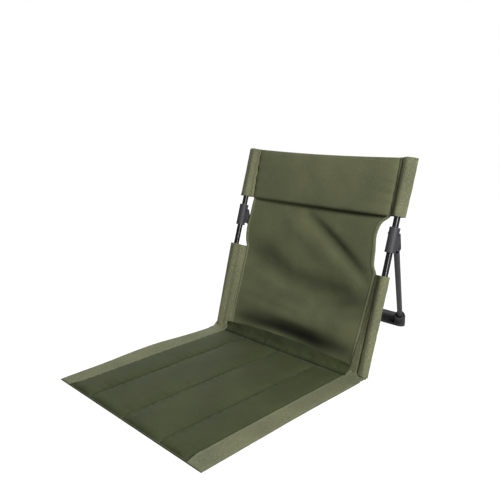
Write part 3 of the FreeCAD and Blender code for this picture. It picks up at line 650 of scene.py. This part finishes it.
cloths = clothGrid(2 * lap["half"], 0.068, 130, 34)
shapeGrid(cloths, lapPlace)
rearLap = finishPiece("rear_fold", cloths, cloth["seatCloth"], "backrest")
thicken(rearLap, lap["thickness"], 0)
shadeCloth(rearLap, lambda spot: (
    lap["seamShade"] * bell(spot.z, 0.0, 0.0035)
    + lap["patchShade"] * max(waver(spot.x, spot.z, 0.034, 71), 0)
    + lap["crestShade"] * ease(spot.z, 0.014, 0.027)))
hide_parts("rear_lap")


# Sling: the cloth hung between the sleeves, with the folds that its weight and tension leave
sling = {
    "low": 0.008, "footRise": 0.0065, "high": 0.345, "innerLow": 0.184, "innerMiddle": 0.190,
    "lowerTop": 0.214, "upperStart": 0.337, "tuckEnd": 0.336, "hemWidth": 0.008, "underHem": 0.0045,
    "sag": 0.013, "lowShare": 0.8, "highShare": 0.35, "thickness": 0.0012,
    "footDive": 0.030, "footLow": 0.022, "footTop": 0.070, "footSides": 0.8, "strutStart": 0.13,
    "bulge": 0.0125, "bulgeAt": 0.080, "bulgeWidth": 0.026,
    "footShade": 0.95, "footShadeAt": 0.043, "footShadeWidth": 0.016,
    "topShade": 0.35, "topShadeRight": 0.5, "topShadeAt": 0.3345, "topShadeWidth": 0.0045,
    "foldShade": 0.48, "foldFull": 0.011,
}
slingFolds = [  # from x, s to x, s, half width, how far back
    (-0.015, 0.312, 0.168, 0.200, 0.014, 0.0105),
    (-0.070, 0.290, 0.135, 0.190, 0.020, -0.0040),
    (-0.190, 0.230, -0.045, 0.164, 0.026, 0.0120),
    (-0.045, 0.166, 0.168, 0.150, 0.024, 0.0110),
    (-0.170, 0.150, 0.060, 0.110, 0.022, -0.0030),
    (-0.185, 0.100, 0.010, 0.086, 0.008, 0.0026),
    (0.050, 0.118, 0.180, 0.148, 0.011, 0.0032),
    (0.120, 0.098, 0.182, 0.126, 0.008, 0.0020),
]
scoops = {  # each bare edge from the middle, from the lower sleeve's top to the upper sleeve
    -1: ((0.190,), (0.197,), (0.2005,), (0.202,), (0.2015,), (0.200,), (0.199,), (0.198,), (0.196,)),
    1: ((0.190,), (0.1815,), (0.1785,), (0.1770,), (0.1745,), (0.1725,), (0.1740,), (0.1800,), (0.196,)),
}


def clothEdge(s, side):
    if s < sling["lowerTop"]:
        return mix(sling["innerLow"], sling["innerMiddle"], s / sling["lowerTop"])
    share = (s - sling["lowerTop"]) / (sling["upperStart"] - sling["lowerTop"])
    return through(scoops[side], share)[0]


def edgeBack(s):
    return 0.001 + 0.010 * math.sin(math.pi * s / back["top"])


def slingDepth(s):
    lowTurn = math.asin(sling["lowShare"])
    highTurn = math.pi - math.asin(sling["highShare"])
    share = (s - sling["low"]) / (sling["high"] - sling["low"])
    return sling["sag"] * math.sin(mix(lowTurn, highTurn, share))


def foldDepth(x, s):
    depth = 0
    for xa, sa, xb, sb, width, deep in slingFolds:
        line = Vector((xb - xa, sb - sa))
        along = min(max((Vector((x - xa, s - sa))).dot(line) / line.length_squared, 0), 1)
        away = (Vector((x, s)) - Vector((xa, sa)) - line * along).length
        ends = math.sin(math.pi * mix(0.12, 0.88, along))
        depth += deep * ends * math.exp(-(away / width) ** 2)
    return depth


def slingPoint(x, s):
    u = x / clothEdge(s, -1 if x < 0 else 1)
    calm = (1 - u ** 4) * ease(s, sling["low"], sling["low"] + 0.03) * (1 - ease(s, 0.322, 0.340))
    drape = foldDepth(x, s) + 0.0011 * waver(x, s, 0.07, 12) + 0.0005 * waver(x, s, 0.03, 13)
    fullness = max(1 - u * u, 0)
    foot = sling["footDive"] * fullness ** 0.5 * (1 - ease(s, sling["footLow"], sling["footTop"]))
    foot *= 1 - sling["footSides"] * ease(abs(x), 0, sling["strutStart"])  # leaves room for folded struts
    foot -= sling["bulge"] * fullness * bell(s, sling["bulgeAt"], sling["bulgeWidth"])
    sag = slingDepth(min(s, sling["tuckEnd"])) * fullness
    return Vector((x, edgeBack(s) + sag + drape * calm + foot, s))


def slingPlace(u, w):
    low = sling["low"] + sling["footRise"] * (1 - (2 * u - 1) ** 2)
    s = mix(low, sling["high"], w)
    under = sling["underHem"]
    return slingPoint(mix(under - clothEdge(s, -1), clothEdge(s, 1) - under, u), s)


cloths = clothGrid(0.372, 0.334, 130, 132)
shapeGrid(cloths, slingPlace)
leanBack(cloths)
backSling = finishPiece("back_sling", cloths, cloth["backCloth"], "backrest")
thicken(backSling, sling["thickness"], 0)


def slingShade(spot):
    x, _, s = toBack.inverted() @ spot
    fullness = max(1 - (x / sling["innerLow"]) ** 2, 0) ** 0.5
    foot = sling["footShade"] * fullness * bell(s, sling["footShadeAt"], sling["footShadeWidth"])
    top = sling["topShade"] + sling["topShadeRight"] * ease(x, -0.15, 0.10)
    top *= bell(s, sling["topShadeAt"], sling["topShadeWidth"])
    return foot + top + sling["foldShade"] * min(max(foldDepth(x, s) / sling["foldFull"], 0), 1)


shadeCloth(backSling, slingShade)
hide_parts("back_panel")
print("sling made")

hems = []
for word, side in sides:
    fold = clothGrid(2 * sling["hemWidth"], 0.3257, 16, 150)

    def hemPlace(u, w):
        s = mix(sling["low"], sling["upperStart"] - 0.0003, w)
        edge = clothEdge(s, side) - 0.0003
        turn = 2 * math.pi * u
        x = edge - sling["hemWidth"] / 2 * (1 + math.cos(turn))
        centre = slingPoint(side * x, s)
        pull = 0.0002 * math.sin(2 * math.pi * s / 0.009 + 2 * waver(s, side, 0.05, 3))
        return centre + Vector((0, -(0.0013 + pull) * math.sin(turn), 0))

    shapeGrid(fold, hemPlace)
    bmesh.ops.remove_doubles(fold, verts=fold.verts, dist=0.00001)
    faceOut(fold)
    leanBack(fold)
    piece = finishPiece(f"sling_hem_{word}", fold, cloth["hemCloth"], "backrest")
    thicken(piece, 0.0007)
    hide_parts(f"back_hem_{word}")
    hems.append(piece)


# Corner cloths: the webbing's rear end, turned up to the foot of each lower sleeve
corner = {"inner": 0.1815, "outer": 0.2250, "front": -0.030, "rear": 0.0052, "rise": 0.0075, "over": 0.0026,
          "crumple": 0.0011}
for word, side in sides:
    tab = clothGrid(corner["outer"] - corner["inner"], 0.037, 24, 26)

    def cornerPlace(u, w):
        y = mix(corner["front"], corner["rear"], w)
        reach = mix(seat["halfWidth"], corner["outer"], ease(w, 0.3, 0.8))
        x = side * mix(corner["inner"], reach, u)
        climb = corner["rise"] * ease(w, 0.45, 1.0)
        crumple = corner["crumple"] * waver(x * 1.4, y, 0.012, 51) * math.sin(math.pi * w)
        return Vector((x, y, seat["baseTop"] + corner["over"] + climb + crumple + sideLift(x, y)))

    shapeGrid(tab, cornerPlace)
    if side < 0:
        bmesh.ops.reverse_faces(tab, faces=tab.faces)
    piece = finishPiece(f"seat_corner_{word}", tab, cloth["bandWebbing"], None)
    thicken(piece, 0.0012)
    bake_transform(piece)
print("corner cloths made")


# Sleeves: cloth wrapped round each upright and sewn flat inside and outside it
sleeve = {
    "radius": 0.0080, "cloth": 0.0009, "halfTip": 0.0010, "cells": 26, "flapStart": 0.028,
    "wobble": 0.00045, "flare": 0.0006, "flareRun": 0.006,
    "seam": 0.0140, "seamWidth": 0.0026, "press": 0.6,
    "seamShade": {-1: 0.2, 1: 0.72},  # stronger on the right only because of the photograph's light
    "shadeInner": 0.001, "shadeWidth": 0.0030,
}
sleeveSizes = {  # outer edges: left, then right, each from its lower end to its upper end
    "lower": {"low": 0.006, "high": 0.214, "inner": (0.1815, 0.1895), "rows": 84,
              "outer": {-1: (0.2265, 0.2350), 1: (0.2255, 0.2275)}},
    "upper": {"low": 0.337, "high": 0.458, "inner": (0.196, 0.196), "rows": 50,
              "outer": {-1: (0.2345, 0.2350), 1: (0.2340, 0.2350)}},
}


def hullReach(angle, tip):
    spread = math.acos(min(sleeve["radius"] / tip.length, 1))
    away = abs((angle - math.atan2(tip.y, tip.x) + math.pi) % (2 * math.pi) - math.pi)
    return sleeve["radius"] / math.cos(spread - away) if away < spread else sleeve["radius"]


def halfWrap(startTip, endTip, sweep):
    start = math.atan2(startTip.y, startTip.x)
    turn = (math.atan2(endTip.y, endTip.x) - start) * sweep % (2 * math.pi) * sweep
    points = []
    for k in range(121):
        angle = start + turn * (0.5 - 0.5 * math.cos(math.pi * k / 120))
        reach = max(hullReach(angle, startTip), hullReach(angle, endTip))
        points.append(Vector((reach * math.cos(angle), reach * math.sin(angle))))
    return points


def evenly(points, count):
    lengths = [0]
    for a, b in zip(points, points[1:]):
        lengths.append(lengths[-1] + (b - a).length)
    spots, k = [], 0
    for step in range(count + 1):
        reach = lengths[-1] * step / count
        while k < len(points) - 2 and lengths[k + 1] < reach:
            k += 1
        share = (reach - lengths[k]) / max(lengths[k + 1] - lengths[k], 1e-9)
        spots.append(points[k].lerp(points[k + 1], min(share, 1)))
    return spots


def sleeveRing(inner, outer, behind):
    innerTip = Vector((inner - back["tubeX"], behind))
    outerTip = Vector((outer - back["tubeX"], 0))
    drop = Vector((0, sleeve["halfTip"]))
    front = evenly(halfWrap(innerTip - drop, outerTip - drop, 1), sleeve["cells"])
    rear = evenly(halfWrap(outerTip + drop, innerTip + drop, 1), sleeve["cells"])
    return front + rear


sleeves = []
for level, sizes in sleeveSizes.items():
    for word, side in sides:
        length = sizes["high"] - sizes["low"]
        rings = []
        for row in range(sizes["rows"] + 1):
            share = row / sizes["rows"]
            reach = mix(*sizes["inner"], share), mix(*sizes["outer"][side], share)
            rings.append(sleeveRing(*reach, edgeBack(mix(sizes["low"], sizes["high"], share))))
        around = len(rings[0]) - 1
        tube = clothGrid(0.110, length, around, sizes["rows"])

        def sleevePlace(u, w):
            spot = rings[round(w * sizes["rows"])][round(u * around)]
            s = mix(sizes["low"], sizes["high"], w)
            flap = ease(spot.length, sleeve["radius"], sleeve["flapStart"])
            near = min(w, 1 - w) * length
            sway = waver(s, side * 2, 0.06, 30 + side) * 0.0010 + waver(s, side, 0.022, 31) * 0.0004
            crumple = sleeve["wobble"] * waver(spot.x * 1.5, s, 0.016, 33 + side)
            flare = sleeve["flare"] * math.exp(-near / sleeve["flareRun"])
            flare *= waver(spot.x, spot.y, 0.008, 35 + side)
            press = 1 - sleeve["press"] * bell(-spot.x, sleeve["seam"], sleeve["seamWidth"])
            n = spot.y * press + flap * sway + crumple + flare
            x = side * (back["tubeX"] + spot.x + 0.6 * crumple)
            return Vector((x, n, s + 0.0006 * waver(spot.x, w, 0.012, 36)))

        shapeGrid(tube, sleevePlace)
        faceOut(tube)
        leanBack(tube)
        piece = finishPiece(f"{level}_wrap_{word}", tube, cloth["sleeveCloth"], "backrest")
        thicken(piece, sleeve["cloth"])
        shadeCloth(piece, lambda spot: sleeve["seamShade"][side] * bell(
            back["tubeX"] - abs(spot.x), sleeve["seam"] - sleeve["shadeInner"], sleeve["shadeWidth"]))
        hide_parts(f"{level}_sleeve_{word}")
        sleeves.append(piece)
print("sleeves made")


# Headrest: a padded cushion across the top
headrest = {
    "half": 0.1957, "low": 0.3365, "high": 0.454, "dip": 0.0035, "thick": 0.0125, "edge": 0.0016,
    "cells": 26, "rows": 120, "lowPower": 0.36, "highPower": 0.62, "follow": 0.35,
    "crease": 0.0014, "creasePitch": 0.024, "creaseReach": 0.022, "ripple": 0.0010,
}


def headrestPlace(u, w):
    x = mix(-headrest["half"], headrest["half"], w)
    out = min(abs(x) / headrest["half"], 1)
    turn = 2 * math.pi * u
    high = headrest["high"] + headrest["dip"] * out * out
    middle, half = (headrest["low"] + high) / 2, (high - headrest["low"]) / 2
    c, v = math.cos(turn), math.sin(turn)
    power = headrest["lowPower"] if v < 0 else headrest["highPower"]  # fuller at the lower edge
    s = middle + half * math.copysign(abs(v) ** 0.80, v)
    thick = headrest["thick"] * (1 - out ** 7) ** 0.5 * (0.94 + 0.1 * waver(x, s, 0.10, 42))
    thick += headrest["edge"]
    n = edgeBack(s)
    n += headrest["follow"] * slingDepth(0.300) * (1 - out * out) * (1 - ease(s, 0.35, 0.44))
    pull = math.exp(-(1 - out) * headrest["half"] / headrest["creaseReach"])
    pull *= math.sin(math.pi * (s - headrest["low"]) / (2 * half))
    wander = 3 * waver(s, math.copysign(1, x), 0.04, 41)
    crease = headrest["crease"] * pull * math.sin(2 * math.pi * s / headrest["creasePitch"] + wander)
    ripple = headrest["ripple"] * waver(x, s, 0.06, 44) * abs(c)
    return Vector((x, n + (thick + crease + ripple) * math.copysign(abs(c) ** power, c), s))


around = 4 * headrest["cells"]
cushion = clothGrid(0.26, 2 * headrest["half"], around, headrest["rows"])
shapeGrid(cushion, headrestPlace)
bmesh.ops.remove_doubles(cushion, verts=cushion.verts, dist=0.00002)
bmesh.ops.holes_fill(cushion, edges=[edge for edge in cushion.edges if edge.is_boundary])
bmesh.ops.triangulate(cushion, faces=[face for face in cushion.faces if len(face.verts) > 4])
faceOut(cushion)
leanBack(cushion)
headrestPad = finishPiece("headrest_cushion", cushion, cloth["headrestCloth"], "backrest")
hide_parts("headrest_cover")

coreShare = (0.97, 0.55, 0.88, 1)  # of the cushion's width, thickness and height
core = bmesh.new()
core.from_mesh(headrestPad.data)
middle = Vector((0, edgeBack(0.395) + 0.001, (headrest["low"] + headrest["high"]) / 2))
shrink = toBack @ Matrix.Translation(middle) @ Matrix.Diagonal(coreShare)
bmesh.ops.transform(core, matrix=shrink @ Matrix.Translation(-middle) @ toBack.inverted(), verts=core.verts)
headrestCore = finishPiece("headrest_filling", core, foam, "backrest")
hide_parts("headrest_foam")
print("headrest made")


def backPoint(x, n, s):
    return toBack @ Vector((x, n, s))


backSeams = {  # x and s of each seam's two ends; the hem's seam follows the cloth's edge
    "lower": ((0.1885, 0.010), (0.1945, 0.212)), "upper": ((0.2005, 0.339), (0.2005, 0.456)),
    "hem": (0.012, 0.332), "hemAside": 0.0065, "hemSteps": 60, "headrest": 0.4480,
}
behind = toBack @ Vector((0, 1, 0))
sleeveRows = []
for side in (-1, 1):
    for level in ("lower", "upper"):
        sleeveRows.append([backPoint(side * x, 0, s) for x, s in backSeams[level]])
    steps = backSeams["hemSteps"]
    heights = [mix(*backSeams["hem"], k / steps) for k in range(steps + 1)]
    sleeveRows.append([
        backPoint(side * (clothEdge(s, side) - backSeams["hemAside"]), 0, s) for s in heights])
sewn("back_stitches", "backrest", [*sleeves, *hems], sleeveRows, behind)
headRow = [backPoint(x, 0, backSeams["headrest"]) for x in (-0.190, -0.1, 0, 0.1, 0.190)]
sewn("headrest_stitches", "backrest", [headrestPad], [headRow], behind)


# Moulded parts: the solid's own form with its edges broken, as a moulding's are
barrel = {"radius": 0.0110, "collar": 0.0118, "edge": 0.0006}
footEdge = 0.0009
mould = {"merge": 0.000002, "flat": 1.5, "sharp": 32, "segments": 3, "smooth": 40}


def softenCollars(mesh, side):  # brings the solid's collars nearly flush with its barrel
    for vertex in mesh.verts:
        spot = toBack.inverted() @ vertex.co
        across = Vector((spot.x - side * back["tubeX"], spot.y))
        if barrel["radius"] < across.length < barrel["collar"]:
            across *= barrel["radius"] / across.length
            vertex.co = toBack @ Vector((side * back["tubeX"] + across.x, across.y, spot.z))


def moulded(node, name, material, body, radius, side=0):
    mesh = bmesh.new()
    mesh.from_mesh(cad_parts[node].data)
    bmesh.ops.remove_doubles(mesh, verts=mesh.verts, dist=mould["merge"])
    if side:
        softenCollars(mesh, side)
    flat, steep = math.radians(mould["flat"]), math.radians(mould["sharp"])
    bmesh.ops.dissolve_limit(mesh, angle_limit=flat, verts=mesh.verts, edges=mesh.edges)
    sharp = [edge for edge in mesh.edges if edge.is_manifold and edge.calc_face_angle() > steep]
    bmesh.ops.bevel(mesh, geom=sharp, offset=radius, offset_type="OFFSET", segments=mould["segments"],
                    profile=0.5, affect="EDGES", clamp_overlap=True, material=-1)
    bmesh.ops.triangulate(mesh, faces=[face for face in mesh.faces if len(face.verts) > 4])
    piece = finishPiece(name, mesh, material, body)
    piece.data.set_sharp_from_angle(angle=math.radians(mould["smooth"]))
    weighted = piece.modifiers.new("normals", "WEIGHTED_NORMAL")
    weighted.keep_sharp = True
    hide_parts(node)


for word, side in sides:
    moulded(f"connector_{word}", f"swing_bracket_{word}", hard["connectorPlastic"], "backrest",
            barrel["edge"], side)
moulded("foot_bar", "foot_moulding", hard["footPlastic"], "rear_support", footEdge)
print("moulded parts made")


# Finishes of the solids that show as they are
finishes = {
    "upright": "uprightSteel", "strut": "strutSteel", "strut_end": "plugPlastic",
    "bottom_plug": "plugPlastic", "top_plug": "plugPlastic",
    "pivot_pin": "blackRivet", "connector_rivet": "blackRivet", "foot_pin": "blackRivet",
}
for name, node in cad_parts.items():
    kind = name.rsplit("_", 1)[0]
    if kind in finishes:
        node.data.materials.clear()
        node.data.materials.append(hard[finishes[kind]])
        node.data.shade_smooth()
        node.data.set_sharp_from_angle(angle=math.radians(35))
print("finishes set")


# Plain pale floor and soft studio light
studio = {"floorSize": 6, "floorDrop": 0.0004, "floorColor": (0.5, 0.5, 0.5, 1), "floorRough": 0.9,
          "floorSpecular": 0.1, "glow": 1.16, "glowShare": 0.86, "fill": 0.07, "aim": (0, -0.05, 0.15)}
white = (1, 1, 1, 1)
floorMesh = bmesh.new()
bmesh.ops.create_grid(floorMesh, x_segments=1, y_segments=1, size=studio["floorSize"])
bmesh.ops.translate(floorMesh, vec=(0, 0, -studio["floorDrop"]), verts=floorMesh.verts)
floorData = bpy.data.meshes.new("floor")
floorMesh.to_mesh(floorData)
floorMesh.free()
floor = bpy.data.objects.new("floor", floorData)
scene.collection.objects.link(floor)
floorMaterial, tree, shader = newMaterial("paleFloor")
shader.inputs["Base Color"].default_value = studio["floorColor"]
shader.inputs["Roughness"].default_value = studio["floorRough"]
shader.inputs["Specular IOR Level"].default_value = studio["floorSpecular"]
glow = tree.nodes.new("ShaderNodeEmission")
glow.inputs["Color"].default_value = white
glow.inputs["Strength"].default_value = studio["glow"]
blend = tree.nodes.new("ShaderNodeMixShader")
rays = tree.nodes.new("ShaderNodeLightPath")
share = mathNode(tree, "MULTIPLY", rays.outputs["Is Camera Ray"], studio["glowShare"])
tree.links.new(share, blend.inputs[0])
tree.links.new(shader.outputs[0], blend.inputs[1])
tree.links.new(glow.outputs[0], blend.inputs[2])
tree.links.new(blend.outputs[0], tree.nodes["Material Output"].inputs["Surface"])
floorData.materials.append(floorMaterial)

world = bpy.data.worlds.new("studio")
scene.world = world
world.use_nodes = True
tree = world.node_tree
rays = tree.nodes.new("ShaderNodeLightPath")
seen = mathNode(tree, "MAXIMUM", rays.outputs["Is Camera Ray"], rays.outputs["Is Transmission Ray"])
sky = tree.nodes["Background"]
sky.inputs["Color"].default_value = white
tree.links.new(rangeNode(tree, seen, 0, 1, studio["fill"], 1.0), sky.inputs["Strength"])

lamps = {
    "key": {"place": (1.7, -0.85, 1.9), "size": (0.6, 0.6), "power": 70},
    "strip": {"place": (1.95, -0.95, 0.85), "size": (0.35, 0.9), "power": 24},
    "rear": {"place": (-1.7, 1.0, 1.15), "size": (1.2, 1.0), "power": 40},
}
for name, lamp in lamps.items():
    data = bpy.data.lights.new(name, "AREA")
    data.energy = lamp["power"]
    data.shape = "RECTANGLE"
    data.size, data.size_y = lamp["size"]
    light = bpy.data.objects.new(name, data)
    scene.collection.objects.link(light)
    aim = Vector(studio["aim"]) - Vector(lamp["place"])
    facing = aim.to_track_quat("-Z", "Y").to_matrix().to_4x4()
    light.matrix_world = Matrix.Translation(lamp["place"]) @ facing
print("stage and lights set")
